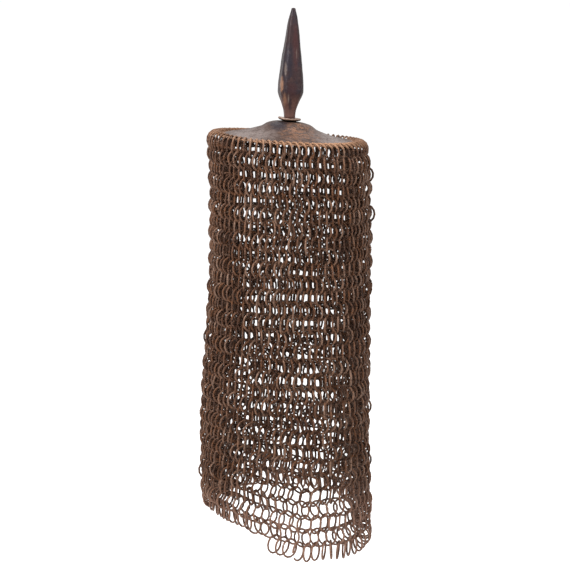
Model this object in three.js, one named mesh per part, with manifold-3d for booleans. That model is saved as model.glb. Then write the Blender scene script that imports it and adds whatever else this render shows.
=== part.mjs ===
// Chainmail coif: an iron crown plate with a faceted spike, and a curtain of mail hung from its rim.
// Millimetres, +Z up, the wearer looks along -Y. The origin is the centre of the plate's rim, underneath.
import * as THREE from 'three';
import { mergeVertices } from 'three/addons/utils/BufferGeometryUtils.js';
import Module from 'manifold-3d';

const wasm = await Module();
wasm.setup();

const DEGREE = Math.PI / 180;
const FULL_TURN = 2 * Math.PI;
const UP = new THREE.Vector3(0, 0, 1);

// Links of the mail
const WIRE_DIAMETER = 2;
const LINK_RADIUS = 9.1; // to the middle of the wire
const LINK_LEAN = 60 * DEGREE; // turn of a link out of the face of the mail
const LINKS_PER_ROW = 70;
const LINK_SIDES = 10;
const WIRE_SIDES = 5;

// Crown plate
const PLATE_RADIUS = 70.5;
const PLATE_THICKNESS = 1.3;
const PLATE_TILT = 4 * DEGREE; // the rim hangs lower on the +X side
const CROWN_RISE = 16.2; // underside of the crown above the rim
const PLATE_FACETS = 30;
const HOLE_SIDES = 6;
const HOLE_CLEARANCE = 0.65;
// Underside of the plate from the flat crown out to the rim, as shares of radius and rise
const PLATE_PROFILE = [
  { radius: 0.19, rise: 1.0 },
  { radius: 0.3, rise: 0.88 },
  { radius: 0.4, rise: 0.6 },
  { radius: 0.52, rise: 0.42 },
  { radius: 0.66, rise: 0.25 },
  { radius: 0.83, rise: 0.1 },
  { radius: 1.0, rise: 0.0 },
];

// Spike, its tang and the washer under it
const SPIKE_LENGTH = 108.3;
const SPIKE_HALF_WIDTH = 11.3;
const SPIKE_LEAN = 2.1 * DEGREE;
const SPIKE_TURN = 14 * DEGREE; // turns the broad faces away from the front
const BROAD_FACE = 0.62; // half width of a broad face, as a share of the half width of the spike
const TANG_RADIUS = 3.2;
const TANG_CLEARANCE = 0.3;
const PEEN_RADIUS = 5.2;
const PEEN_HEIGHT = 2;
const PEEN_FACE = 0.8; // flat of the peened head, as a share of its width
const WASHER_RADIUS = 11.6;
const WASHER_THICKNESS = 2.4;
const WASHER_DISH = 0.9; // lift of the washer's edge off the plate
const WASHER_FACETS = 18;
// Washer from its bore out along the underside and back along the top, as shares of its sizes
const WASHER_UNDERSIDE = [
  { radius: 0.6, dish: 0.25 },
  { radius: 1.0, dish: 1.0 },
];
const WASHER_TOP = [
  { radius: 1.0, thickness: 0.9 },
  { radius: 0.94, thickness: 1.0 },
];
const SEAT_GAP = 0.3;
// Spike from the shoulder on the washer up to the blunt tip, as shares of length and half width
const SPIKE_SECTIONS = [
  { height: 0.0, width: 0.43 },
  { height: 0.068, width: 0.49 },
  { height: 0.14, width: 0.67 },
  { height: 0.212, width: 0.92 },
  { height: 0.25, width: 1.0 },
  { height: 0.34, width: 0.97 },
  { height: 0.45, width: 0.885 },
  { height: 0.575, width: 0.76 },
  { height: 0.7, width: 0.61 },
  { height: 0.83, width: 0.48 },
  { height: 0.925, width: 0.32 },
  { height: 1.0, width: 0.15 },
];

// Curtain of mail
const LINK_OVERHANG = 1.7; // centres of the links that hang in the plate, outside its rim
const SUSPENSION_RADIUS = PLATE_RADIUS + LINK_OVERHANG;
const SUSPENSION_DROP = 5; // those centres below the rim
const CURTAIN_TOP_DROP = 7; // upper edge of the solid curtain below the rim
const CURTAIN_DROP = 376; // hem below the rim at the back and the left
const HEM_FALL = 40; // how much lower the hem hangs where it is lowest
const CURTAIN_STEP = 0.2; // middle of the mail at the top, inside those centres
const CURTAIN_RADIUS = SUSPENSION_RADIUS - CURTAIN_STEP;
const CURTAIN_FLARE = 6.6; // growth of that radius down to the hem
const HEM_SHIFT = -3.2; // the hem swings this far along X
const CREASE_DEPTH = 6;
const CREASE_AZIMUTH = -16 * DEGREE;
const CREASE_SPREAD = 15 * DEGREE;
// Flare down the curtain, as shares of its drop and of the whole flare
const FLARE_TABLE = [
  { drop: 0.0, flare: 0.0 },
  { drop: 0.28, flare: 0.16 },
  { drop: 0.48, flare: 0.4 },
  { drop: 0.66, flare: 0.86 },
  { drop: 0.82, flare: 0.9 },
  { drop: 1.0, flare: 1.0 },
];
// Hem round the wearer, azimuth in degrees from the front towards +X, fall as a share of HEM_FALL
const HEM_TABLE = [
  { azimuth: 0, fall: 0.78 },
  { azimuth: 15, fall: 0.93 },
  { azimuth: 48, fall: 1.0 },
  { azimuth: 75, fall: 0.82 },
  { azimuth: 95, fall: 0.6 },
  { azimuth: 137, fall: 0.2 },
  { azimuth: 180, fall: 0.05 },
  { azimuth: 225, fall: 0.0 },
  { azimuth: 300, fall: 0.0 },
  { azimuth: 325, fall: 0.12 },
  { azimuth: 345, fall: 0.42 },
  { azimuth: 360, fall: 0.78 },
];

// Open meshes cut through the curtain
const MESH_COLUMNS = 12;
const MESH_ROWS = 7;
const MESH_WIDTH = 18;
const MESH_HEIGHT = 36;
const MESH_MARGIN = 30; // middle of the first and last row of meshes from the curtain's edges

const COLOURS = { plate: 0x86705f, spike: 0x4a3b3c, washer: 0x7a6657, mail: 0x5d4437 };

function tableValue(table, key, column, at) {
  const found = table.findIndex((row) => row[key] >= at);
  const next = found < 0 ? table.length - 1 : Math.max(1, found);
  const low = table[next - 1];
  const high = table[next];
  return THREE.MathUtils.mapLinear(at, low[key], high[key], low[column], high[column]);
}

function toManifold(geometry) {
  const bare = geometry.clone();
  bare.deleteAttribute('normal');
  bare.deleteAttribute('uv');
  const merged = mergeVertices(bare, 1e-4);
  const vertProperties = new Float32Array(merged.attributes.position.array);
  const triVerts = new Uint32Array(merged.index.array);
  return new wasm.Manifold(new wasm.Mesh({ numProp: 3, vertProperties, triVerts }));
}

function toGeometry(solid) {
  const mesh = solid.getMesh();
  const geometry = new THREE.BufferGeometry();
  geometry.setAttribute('position', new THREE.BufferAttribute(new Float32Array(mesh.vertProperties), 3));
  geometry.setIndex(new THREE.BufferAttribute(new Uint32Array(mesh.triVerts), 1));
  geometry.computeVertexNormals();
  return geometry;
}

// Closed skin over rows of points, each row a loop of equal length, with flat ends
function loftLoops(loops) {
  const count = loops[0].length;
  const positions = loops.flat().flatMap((point) => point.toArray());
  const index = [];
  const last = (loops.length - 1) * count;
  for (let low = 0; low < last; low += count) {
    const high = low + count;
    for (let side = 0; side < count; side += 1) {
      const next = (side + 1) % count;
      index.push(low + side, low + next, high + next);
      index.push(low + side, high + next, high + side);
    }
  }
  for (let side = 1; side < count - 1; side += 1) {
    index.push(0, side + 1, side);
    index.push(last, last + side, last + side + 1);
  }
  const geometry = new THREE.BufferGeometry();
  geometry.setAttribute('position', new THREE.Float32BufferAttribute(positions, 3));
  geometry.setIndex(index);
  return geometry;
}

function outward(azimuth) {
  return new THREE.Vector3(Math.sin(azimuth), -Math.cos(azimuth), 0);
}

function around(azimuth) {
  return new THREE.Vector3(Math.cos(azimuth), Math.sin(azimuth), 0);
}

// Where a suspension link passes through the sheet, measured in the plate's own frame
function linkPassage(sheetHeight) {
  const height = SUSPENSION_DROP + sheetHeight + PLATE_THICKNESS / 2;
  const reach = Math.sqrt(LINK_RADIUS ** 2 - height ** 2);
  const inwards = SUSPENSION_RADIUS - reach * Math.sin(LINK_LEAN);
  const aside = reach * Math.cos(LINK_LEAN);
  const radius = Math.hypot(inwards, aside);
  return { radius, turn: Math.atan2(aside, inwards), slope: height / reach };
}

function plateUnderside(radius) {
  return CROWN_RISE * tableValue(PLATE_PROFILE, 'radius', 'rise', radius / PLATE_RADIUS);
}

const passage = linkPassage(plateUnderside(linkPassage(0).radius));
const holeRadius = (WIRE_DIAMETER / 2) * Math.hypot(1, passage.slope)
  + (PLATE_THICKNESS / 2) * passage.slope + HOLE_CLEARANCE;

const tangHoleRadius = TANG_RADIUS + TANG_CLEARANCE;

function plateGeometry() {
  const under = PLATE_PROFILE.map(({ radius, rise }) => {
    return new THREE.Vector2(radius * PLATE_RADIUS, rise * CROWN_RISE);
  });
  const over = under.map((point) => new THREE.Vector2(point.x, point.y + PLATE_THICKNESS)).reverse();
  const bottomOfHole = new THREE.Vector2(tangHoleRadius, CROWN_RISE);
  const topOfHole = new THREE.Vector2(tangHoleRadius, CROWN_RISE + PLATE_THICKNESS);
  const profile = [bottomOfHole, ...under, ...over, topOfHole, bottomOfHole.clone()];
  const dome = new THREE.LatheGeometry(profile, PLATE_FACETS);
  dome.rotateX(Math.PI / 2);
  let solid = toManifold(dome);
  for (let link = 0; link < LINKS_PER_ROW; link += 1) {
    const azimuth = (link / LINKS_PER_ROW) * FULL_TURN - passage.turn;
    const cutter = new THREE.CylinderGeometry(holeRadius, holeRadius, CROWN_RISE * 2, HOLE_SIDES);
    cutter.rotateX(Math.PI / 2);
    cutter.rotateZ(azimuth + Math.PI / 2 - LINK_LEAN); // a corner points along the link
    const centre = outward(azimuth).multiplyScalar(passage.radius);
    cutter.translate(centre.x, centre.y, 0);
    solid = solid.subtract(toManifold(cutter));
  }
  return toGeometry(solid);
}

function washerGeometry() {
  const profile = [
    new THREE.Vector2(tangHoleRadius, 0),
    ...WASHER_UNDERSIDE.map(({ radius, dish }) => {
      return new THREE.Vector2(radius * WASHER_RADIUS, dish * WASHER_DISH);
    }),
    ...WASHER_TOP.map(({ radius, thickness }) => {
      return new THREE.Vector2(radius * WASHER_RADIUS, thickness * WASHER_THICKNESS);
    }),
    new THREE.Vector2(tangHoleRadius, WASHER_THICKNESS),
    new THREE.Vector2(tangHoleRadius, 0),
  ];
  const disc = new THREE.LatheGeometry(profile, WASHER_FACETS);
  disc.rotateX(Math.PI / 2);
  return toGeometry(toManifold(disc));
}

// Eight-sided loop: four broad faces with four narrow ones between them
function octagon(halfWidth, height) {
  const broad = halfWidth * BROAD_FACE;
  const corners = [
    [halfWidth, -broad],
    [halfWidth, broad],
    [broad, halfWidth],
    [-broad, halfWidth],
    [-halfWidth, broad],
    [-halfWidth, -broad],
    [-broad, -halfWidth],
    [broad, -halfWidth],
  ];
  return corners.map(([x, y]) => new THREE.Vector3(x, y, height).applyAxisAngle(UP, SPIKE_TURN));
}

// Height zero is the washer's upper face, with the tang running down to the peened head
function spikeGeometry() {
  const washerStack = WASHER_THICKNESS + SEAT_GAP;
  const peenTop = -(washerStack + PLATE_THICKNESS + 2 * SEAT_GAP);
  const tangFit = TANG_RADIUS / Math.hypot(1, BROAD_FACE);
  const peenFit = PEEN_RADIUS / Math.hypot(1, BROAD_FACE);
  const loops = [
    octagon(peenFit * PEEN_FACE, peenTop - PEEN_HEIGHT),
    octagon(peenFit, peenTop - PEEN_HEIGHT / 2),
    octagon(peenFit, peenTop),
    octagon(tangFit, peenTop),
    octagon(tangFit, SEAT_GAP),
  ];
  for (const row of SPIKE_SECTIONS) {
    loops.push(octagon(row.width * SPIKE_HALF_WIDTH, SEAT_GAP + row.height * SPIKE_LENGTH));
  }
  return loftLoops(loops);
}

function linkGeometry(azimuth) {
  const reach = around(azimuth).multiplyScalar(Math.cos(LINK_LEAN));
  reach.addScaledVector(outward(azimuth), Math.sin(LINK_LEAN));
  const axis = new THREE.Vector3().crossVectors(reach, UP);
  const place = new THREE.Matrix4().makeBasis(reach, UP, axis);
  const centre = outward(azimuth).multiplyScalar(SUSPENSION_RADIUS);
  place.setPosition(centre.x, centre.y, -SUSPENSION_DROP);
  const link = new THREE.TorusGeometry(LINK_RADIUS, WIRE_DIAMETER / 2, WIRE_SIDES, LINK_SIDES);
  link.applyMatrix4(place);
  return link;
}

const mailThickness = 2 * LINK_RADIUS * Math.sin(LINK_LEAN) + WIRE_DIAMETER;
const tiltMatrix = new THREE.Matrix4().makeRotationY(PLATE_TILT);

function hemDrop(azimuth) {
  const degrees = THREE.MathUtils.euclideanModulo(azimuth / DEGREE, 360);
  return CURTAIN_DROP + HEM_FALL * tableValue(HEM_TABLE, 'azimuth', 'fall', degrees);
}

function topDrop(azimuth) {
  return CURTAIN_TOP_DROP + Math.sin(azimuth) * SUSPENSION_RADIUS * Math.tan(PLATE_TILT);
}

function crease(azimuth, share) {
  const wrapped = THREE.MathUtils.euclideanModulo(azimuth - CREASE_AZIMUTH + Math.PI, FULL_TURN) - Math.PI;
  return CREASE_DEPTH * share ** 3 * Math.exp(-((wrapped / CREASE_SPREAD) ** 2));
}

// A point of the curtain at a share of its height, offset outwards from the middle of the mail
function curtainPoint(azimuth, share, offset) {
  const drop = THREE.MathUtils.lerp(topDrop(azimuth), hemDrop(azimuth), share);
  const flare = CURTAIN_FLARE * tableValue(FLARE_TABLE, 'drop', 'flare', share);
  const radius = CURTAIN_RADIUS + flare - crease(azimuth, share) + offset;
  const point = outward(azimuth).multiplyScalar(radius);
  point.x += HEM_SHIFT * share;
  point.z = -drop;
  return point;
}

// Corners of one open mesh, a diamond whose middle lies at a column and row of the net
function meshCorners(column, row) {
  const azimuth = ((column + (row % 2) / 2) / MESH_COLUMNS) * FULL_TURN;
  const first = MESH_MARGIN / CURTAIN_DROP;
  const share = THREE.MathUtils.lerp(first, 1 - first, row / (MESH_ROWS - 1));
  const turn = MESH_WIDTH / 2 / CURTAIN_RADIUS;
  const rise = MESH_HEIGHT / 2 / CURTAIN_DROP;
  return {
    top: [azimuth, share - rise],
    right: [azimuth + turn, share],
    bottom: [azimuth, share + rise],
    left: [azimuth - turn, share],
  };
}

// Triangles of the net seen from outside, each corner an azimuth and a share of the height
function netTriangles() {
  const triangles = [];
  const quad = (a, b, c, d) => triangles.push([a, b, c], [a, c, d]);
  for (let row = 0; row < MESH_ROWS; row += 1) {
    for (let column = 0; column < MESH_COLUMNS; column += 1) {
      const here = meshCorners(column, row);
      const beside = meshCorners(column + 1, row);
      const middle = (here.bottom[0] + beside.bottom[0]) / 2;
      const leftBelow = column + (row % 2) - 1;
      const above = row > 0 ? meshCorners(leftBelow + 1, row - 1).bottom : [middle, 0];
      const below = row < MESH_ROWS - 1 ? meshCorners(leftBelow + 1, row + 1) : null;
      const foot = below ? below.top : [middle, 1];
      triangles.push([here.right, beside.left, above], [here.right, foot, beside.left]);
      if (below) {
        quad(here.bottom, below.left, foot, here.right);
        quad(beside.bottom, beside.left, foot, below.right);
      } else {
        quad(here.bottom, [here.bottom[0], 1], foot, here.right);
        quad(beside.left, foot, [beside.bottom[0], 1], beside.bottom);
      }
      if (row === 0) {
        quad(here.right, above, [here.top[0], 0], here.top);
        quad(beside.top, [beside.top[0], 0], above, beside.left);
      }
    }
  }
  return triangles;
}

// The edges of the net that no second triangle shares, run in the direction of their triangle
function openEdges(triangles) {
  const name = ([azimuth, share]) => {
    const turn = THREE.MathUtils.euclideanModulo(azimuth + 1e-7, FULL_TURN);
    return `${turn.toFixed(5)}/${share.toFixed(6)}`;
  };
  const edges = new Map();
  for (const corners of triangles) {
    corners.forEach((start, side) => {
      const end = corners[(side + 1) % 3];
      const reverse = `${name(end)} ${name(start)}`;
      if (!edges.delete(reverse)) edges.set(`${name(start)} ${name(end)}`, [start, end]);
    });
  }
  return [...edges.values()];
}

function curtainGeometry() {
  const net = netTriangles();
  const outer = ([azimuth, share]) => curtainPoint(azimuth, share, mailThickness / 2);
  const inner = ([azimuth, share]) => curtainPoint(azimuth, share, -mailThickness / 2);
  const corners = [];
  for (const [a, b, c] of net) {
    corners.push(outer(a), outer(b), outer(c), inner(a), inner(c), inner(b));
  }
  for (const [start, end] of openEdges(net)) {
    corners.push(outer(end), outer(start), inner(start), outer(end), inner(start), inner(end));
  }
  const wall = new THREE.BufferGeometry();
  wall.setAttribute('position', new THREE.Float32BufferAttribute(corners.flatMap((p) => p.toArray()), 3));
  let solid = toManifold(wall);
  for (let link = 0; link < LINKS_PER_ROW; link += 1) {
    const azimuth = (link / LINKS_PER_ROW) * FULL_TURN;
    solid = solid.add(toManifold(linkGeometry(azimuth).applyMatrix4(tiltMatrix)));
  }
  return toGeometry(solid);
}

function namedMesh(name, geometry, colour, roughness, metalness) {
  const material = new THREE.MeshStandardMaterial({ color: colour, roughness, metalness });
  const mesh = new THREE.Mesh(geometry, material);
  mesh.name = name;
  return mesh;
}

const crownTop = CROWN_RISE + PLATE_THICKNESS;

const crown = new THREE.Group();
crown.rotation.y = PLATE_TILT;
crown.add(namedMesh('top_plate', plateGeometry(), COLOURS.plate, 0.6, 0.8));

const washer = namedMesh('finial_washer', washerGeometry(), COLOURS.washer, 0.6, 0.8);
washer.position.z = crownTop + SEAT_GAP;
crown.add(washer);

const spike = namedMesh('finial', spikeGeometry(), COLOURS.spike, 0.5, 0.8);
spike.position.z = crownTop + SEAT_GAP + WASHER_THICKNESS;
spike.rotation.y = SPIKE_LEAN - PLATE_TILT;
crown.add(spike);

const coif = new THREE.Group();
coif.add(crown);
coif.add(namedMesh('mail_curtain', curtainGeometry(), COLOURS.mail, 0.65, 0.7));

export default coif;
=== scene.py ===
"""Looks of a mail coif: an iron crown plate with a spike, and a curtain of four-in-one mail.

Lengths are metres, +Z is up and the wearer looks along -Y. The origin is the centre of the plate's rim,
underneath. An azimuth runs from the front towards +X. Sizes follow the solids of the same names.
"""

import sys

import logging
import math
from dataclasses import dataclass
from enum import Enum
from typing import Sequence

import bmesh
import bpy
import numpy as np
from mathutils import Matrix, Quaternion, Vector, noise


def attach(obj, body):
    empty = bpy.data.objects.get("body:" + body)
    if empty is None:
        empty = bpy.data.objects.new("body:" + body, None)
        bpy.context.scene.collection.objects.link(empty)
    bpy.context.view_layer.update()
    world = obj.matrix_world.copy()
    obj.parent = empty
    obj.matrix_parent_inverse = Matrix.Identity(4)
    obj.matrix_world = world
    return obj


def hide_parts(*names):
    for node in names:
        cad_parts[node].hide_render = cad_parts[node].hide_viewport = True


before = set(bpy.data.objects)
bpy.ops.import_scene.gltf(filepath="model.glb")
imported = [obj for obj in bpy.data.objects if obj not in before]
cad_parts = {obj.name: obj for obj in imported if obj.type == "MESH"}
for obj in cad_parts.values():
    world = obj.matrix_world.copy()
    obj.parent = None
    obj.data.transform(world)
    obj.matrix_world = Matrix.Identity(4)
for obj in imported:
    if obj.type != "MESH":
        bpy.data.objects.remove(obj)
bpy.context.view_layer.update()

MM = 0.001
BODY = "root"
IMAGE_PIXELS = 570
FULL_TURN = 2.0 * math.pi
CROWN_TILT = math.radians(4.0)
WHITE = (1.0, 1.0, 1.0, 1.0)

log = logging.getLogger("coif")

Colour = tuple[float, float, float]
Limits = tuple[float, float]
Table = Sequence[tuple[float, float]]
Socket = bpy.types.NodeSocket


class Tilt(Enum):
    """Which way the links of a row lean out of the face of the mail."""

    CLOCKWISE = 1
    COUNTER = -1

    @classmethod
    def of_row(cls, row: int) -> "Tilt":
        """Rows lean in turn, which is what weaves each link through four others."""
        return cls.CLOCKWISE if row % 2 == 0 else cls.COUNTER


def outward(azimuth: float) -> Vector:
    """Level direction away from the axis at an azimuth."""
    return Vector((math.sin(azimuth), -math.cos(azimuth), 0.0))


def around(azimuth: float) -> Vector:
    """Level direction of growing azimuth."""
    return Vector((math.cos(azimuth), math.sin(azimuth), 0.0))


def smoothstep(low: float, high: float, at: float) -> float:
    """Share from 0 to 1 that eases in and out between two limits."""
    share = min(1.0, max(0.0, (at - low) / (high - low)))
    return share * share * (3.0 - 2.0 * share)


def wrapped(angle: float) -> float:
    """The same angle between minus and plus half a turn."""
    return (angle + math.pi) % FULL_TURN - math.pi


def smooth_table(table: Table, at: float) -> float:
    """Value of a table at a place, on a curve without overshoot through its rows.

    Args:
        table: rows of place and value, places rising.
        at: the place that is asked for.

    Returns:
        The value there, held at the ends.
    """
    places = [row[0] for row in table]
    values = [row[1] for row in table]
    if at <= places[0]:
        return values[0]
    if at >= places[-1]:
        return values[-1]
    slopes = [(values[i + 1] - values[i]) / (places[i + 1] - places[i]) for i in range(len(table) - 1)]
    tangents = [slopes[0]]
    for before, after in zip(slopes, slopes[1:]):
        same_way = before * after > 0.0
        tangents.append(2.0 * before * after / (before + after) if same_way else 0.0)
    tangents.append(slopes[-1])
    step = next(i for i in range(len(table) - 1) if at <= places[i + 1])
    width = places[step + 1] - places[step]
    t = (at - places[step]) / width
    start = (1 + 2 * t) * (1 - t) ** 2 * values[step] + t * (1 - t) ** 2 * width * tangents[step]
    end = t * t * (3 - 2 * t) * values[step + 1] + t * t * (t - 1) * width * tangents[step + 1]
    return start + end


def noise_at(place: Vector, size: float, seed: float) -> float:
    """Smooth noise from about -1 to 1 with features of a size."""
    return noise.noise(place / size + Vector((seed, -seed, seed * 0.5)))


@dataclass(frozen=True)
class Dents:
    """Shallow dents all over a forged surface: the depth, the size and the seed of their noise."""

    depth: float
    size: float
    seed: float

    def at(self, place: Vector) -> float:
        """How far the surface stands off its even form at a place."""
        return self.depth * noise_at(place, self.size, self.seed)


class MeshMaker:
    """Turns points and faces into finished objects."""

    @staticmethod
    def add(name: str, points: Sequence[Vector], faces: Sequence[Sequence[int]]) -> bpy.types.Object:
        """Makes a mesh object with smooth faces that point outwards.

        Args:
            name: the object's name.
            points: corners in the row frame.
            faces: corner numbers of each face.

        Returns:
            The new object, linked to the scene.
        """
        mesh = bpy.data.meshes.new(name)
        mesh.from_pydata([tuple(point) for point in points], [], faces)
        piece = bpy.data.objects.new(name, mesh)
        bpy.context.scene.collection.objects.link(piece)
        work = bmesh.new()
        work.from_mesh(mesh)
        bmesh.ops.recalc_face_normals(work, faces=work.faces)
        work.to_mesh(mesh)
        work.free()
        mesh.shade_smooth()
        return piece

    @staticmethod
    def loft(name: str, loops: Sequence[Sequence[Vector]], joined: bool) -> bpy.types.Object:
        """Skins loops of equal length.

        Args:
            name: the object's name.
            loops: loops of points, each as long as the others.
            joined: whether the last loop meets the first, or both ends are capped.

        Returns:
            The new object.
        """
        count = len(loops[0])
        points = [point for loop in loops for point in loop]
        faces: list[list[int]] = []
        bands = len(loops) if joined else len(loops) - 1
        for band in range(bands):
            low = band * count
            high = (band + 1) % len(loops) * count
            for side in range(count):
                after = (side + 1) % count
                faces.append([low + side, low + after, high + after, high + side])
        if not joined:
            faces.append(list(range(count)))
            faces.append([len(points) - count + side for side in range(count)])
        return MeshMaker.add(name, points, faces)

    @staticmethod
    def run_tree(piece: bpy.types.Object, tree: bpy.types.NodeTree, values: dict[str, object]) -> None:
        """Runs a Geometry Nodes tree on a piece and keeps the result as its plain mesh.

        Args:
            piece: the object that the tree works on.
            tree: the tree.
            values: the tree's input names and what they are set to.
        """
        modifier = piece.modifiers.new("nodes", "NODES")
        modifier.node_group = tree
        for item in tree.interface.items_tree:
            if item.item_type == "SOCKET" and item.in_out == "INPUT" and item.name in values:
                modifier[item.identifier] = values[item.name]
        evaluated = piece.evaluated_get(bpy.context.evaluated_depsgraph_get())
        result = bpy.data.meshes.new_from_object(evaluated)
        piece.modifiers.remove(modifier)
        piece.data = result
        result.name = piece.name


class TreeMaker:
    """Short words for building a node tree."""

    def __init__(self, tree: bpy.types.NodeTree) -> None:
        """Starts on a tree that is already made."""
        self.tree = tree

    def add(self, kind: str, **settings: object) -> bpy.types.Node:
        """Adds a node and sets its properties.

        Args:
            kind: the node's type.
            settings: names and values of its properties.

        Returns:
            The node.
        """
        node = self.tree.nodes.new(kind)
        for name, value in settings.items():
            setattr(node, name, value)
        return node

    def feed(self, socket: Socket, value: object) -> None:
        """Links an output to a socket, or sets a plain value on it.

        Args:
            socket: the socket that is fed.
            value: another node's output, or the plain value.
        """
        if isinstance(value, Socket):
            self.tree.links.new(value, socket)
        else:
            socket.default_value = value

    def set_on_points(self, points: Socket, thing: Socket) -> Socket:
        """Sets a thing on every point, turned and stretched by the point's attributes.

        Args:
            points: points that carry the attributes turn and stretch.
            thing: the geometry that is set on each.

        Returns:
            All the things as one real mesh.
        """
        place = self.add("GeometryNodeInstanceOnPoints")
        self.feed(place.inputs["Points"], points)
        self.feed(place.inputs["Instance"], thing)
        for socket, name, kind in (("Rotation", "turn", "QUATERNION"), ("Scale", "stretch", "FLOAT_VECTOR")):
            self.feed(place.inputs[socket], self.attribute(name, kind))
        real = self.add("GeometryNodeRealizeInstances")
        self.feed(real.inputs["Geometry"], place.outputs["Instances"])
        return real.outputs["Geometry"]

    def attribute(self, name: str, kind: str) -> Socket:
        """Reads a named attribute of the geometry.

        Args:
            name: the attribute's name.
            kind: its data type.

        Returns:
            Its value.
        """
        read = self.add("GeometryNodeInputNamedAttribute", data_type=kind)
        self.feed(read.inputs["Name"], name)
        return read.outputs["Attribute"]

    def maths(self, operation: str, *values: object) -> Socket:
        """Adds a Math node.

        Args:
            operation: what it works out.
            values: plain numbers or outputs that it works on.

        Returns:
            Its output.
        """
        node = self.add("ShaderNodeMath", operation=operation)
        for socket, value in zip(node.inputs, values):
            self.feed(socket, value)
        return node.outputs[0]


class LinkTree:
    """Geometry Nodes that set a wire link on every point of a mesh.

    Each point carries the attributes turn, a rotation, and stretch, a scale. Its tone goes on to the link.
    """

    @classmethod
    def build(cls) -> bpy.types.NodeTree:
        """Builds the tree.

        Returns:
            A tree with inputs for the link's sizes and its material.
        """
        tree = bpy.data.node_groups.new("wire_links", "GeometryNodeTree")
        face = tree.interface
        face.new_socket("Points", in_out="INPUT", socket_type="NodeSocketGeometry")
        for name in ("Link radius", "Wire diameter", "Gap"):
            face.new_socket(name, in_out="INPUT", socket_type="NodeSocketFloat")
        for name in ("Link sides", "Wire sides"):
            face.new_socket(name, in_out="INPUT", socket_type="NodeSocketInt")
        face.new_socket("Material", in_out="INPUT", socket_type="NodeSocketMaterial")
        face.new_socket("Links", in_out="OUTPUT", socket_type="NodeSocketGeometry")
        make = TreeMaker(tree)
        inputs = make.add("NodeGroupInput").outputs

        arc = make.add("GeometryNodeCurveArc", mode="RADIUS")
        make.feed(arc.inputs["Resolution"], make.maths("ADD", inputs["Link sides"], 1.0))
        make.feed(arc.inputs["Radius"], inputs["Link radius"])
        make.feed(arc.inputs["Start Angle"], make.maths("MULTIPLY", inputs["Gap"], 0.5))
        make.feed(arc.inputs["Sweep Angle"], make.maths("SUBTRACT", FULL_TURN, inputs["Gap"]))
        section = make.add("GeometryNodeCurvePrimitiveCircle", mode="RADIUS")
        make.feed(section.inputs["Resolution"], inputs["Wire sides"])
        make.feed(section.inputs["Radius"], make.maths("MULTIPLY", inputs["Wire diameter"], 0.5))
        wire = make.add("GeometryNodeCurveToMesh")
        make.feed(wire.inputs["Curve"], arc.outputs["Curve"])
        make.feed(wire.inputs["Profile Curve"], section.outputs["Curve"])
        make.feed(wire.inputs["Fill Caps"], True)

        smooth = make.add("GeometryNodeSetShadeSmooth")
        make.feed(smooth.inputs[0], make.set_on_points(inputs["Points"], wire.outputs["Mesh"]))
        dress = make.add("GeometryNodeSetMaterial")
        make.feed(dress.inputs["Geometry"], smooth.outputs[0])
        make.feed(dress.inputs["Material"], inputs["Material"])
        make.feed(make.add("NodeGroupOutput").inputs["Links"], dress.outputs["Geometry"])
        return tree


class RimSlotTree:
    """Geometry Nodes that punch a slot through a plate at each of its loose points.

    A loose point carries the attributes slot, turn and stretch, the last one the slot's half extent.
    """

    @classmethod
    def build(cls) -> bpy.types.NodeTree:
        """Builds the tree.

        Returns:
            A tree with inputs for the depth of the punches and a material.
        """
        tree = bpy.data.node_groups.new("rim_slots", "GeometryNodeTree")
        face = tree.interface
        face.new_socket("Plate", in_out="INPUT", socket_type="NodeSocketGeometry")
        face.new_socket("Depth", in_out="INPUT", socket_type="NodeSocketFloat")
        face.new_socket("Slot sides", in_out="INPUT", socket_type="NodeSocketInt")
        face.new_socket("Material", in_out="INPUT", socket_type="NodeSocketMaterial")
        face.new_socket("Pierced", in_out="OUTPUT", socket_type="NodeSocketGeometry")
        make = TreeMaker(tree)
        inputs = make.add("NodeGroupInput").outputs

        parted = make.add("GeometryNodeSeparateGeometry", domain="POINT")
        make.feed(parted.inputs["Geometry"], inputs["Plate"])
        make.feed(parted.inputs["Selection"], make.attribute("slot", "BOOLEAN"))
        punch = make.add("GeometryNodeMeshCylinder", fill_type="NGON")
        make.feed(punch.inputs["Vertices"], inputs["Slot sides"])
        make.feed(punch.inputs["Radius"], 1.0)
        make.feed(punch.inputs["Depth"], inputs["Depth"])
        cut = make.add("GeometryNodeMeshBoolean", operation="DIFFERENCE", solver="MANIFOLD")
        make.feed(cut.inputs["Mesh 1"], parted.outputs["Inverted"])
        punches = make.set_on_points(parted.outputs["Selection"], punch.outputs["Mesh"])
        make.feed(cut.inputs["Mesh 2"], punches)
        real = make.add("GeometryNodeRealizeInstances")
        make.feed(real.inputs["Geometry"], cut.outputs["Mesh"])
        dress = make.add("GeometryNodeSetMaterial")
        make.feed(dress.inputs["Geometry"], real.outputs["Geometry"])
        make.feed(dress.inputs["Material"], inputs["Material"])
        make.feed(make.add("NodeGroupOutput").inputs["Pierced"], dress.outputs["Geometry"])
        return tree


@dataclass(frozen=True)
class Grain:
    """Noise that is cut to a mask.

    The size of its features is in millimetres. Detail counts the octaves of finer noise on top, low and
    high are the noise's values where the mask is 0 and 1, and warp is how much the noise bends itself.
    """

    size: float
    detail: float
    low: float
    high: float
    warp: float = 0.0


@dataclass(frozen=True)
class Patch:
    """A place with a ragged outline on a surface.

    Its middle, its reach to each side and the grain of its outline are in millimetres. Edge and ragged are
    shares of its reach: how softly it fades, and how far noise pushes its outline.
    """

    middle: tuple[float, float, float]
    reach: tuple[float, float, float]
    edge: float
    ragged: float
    grain: float


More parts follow.
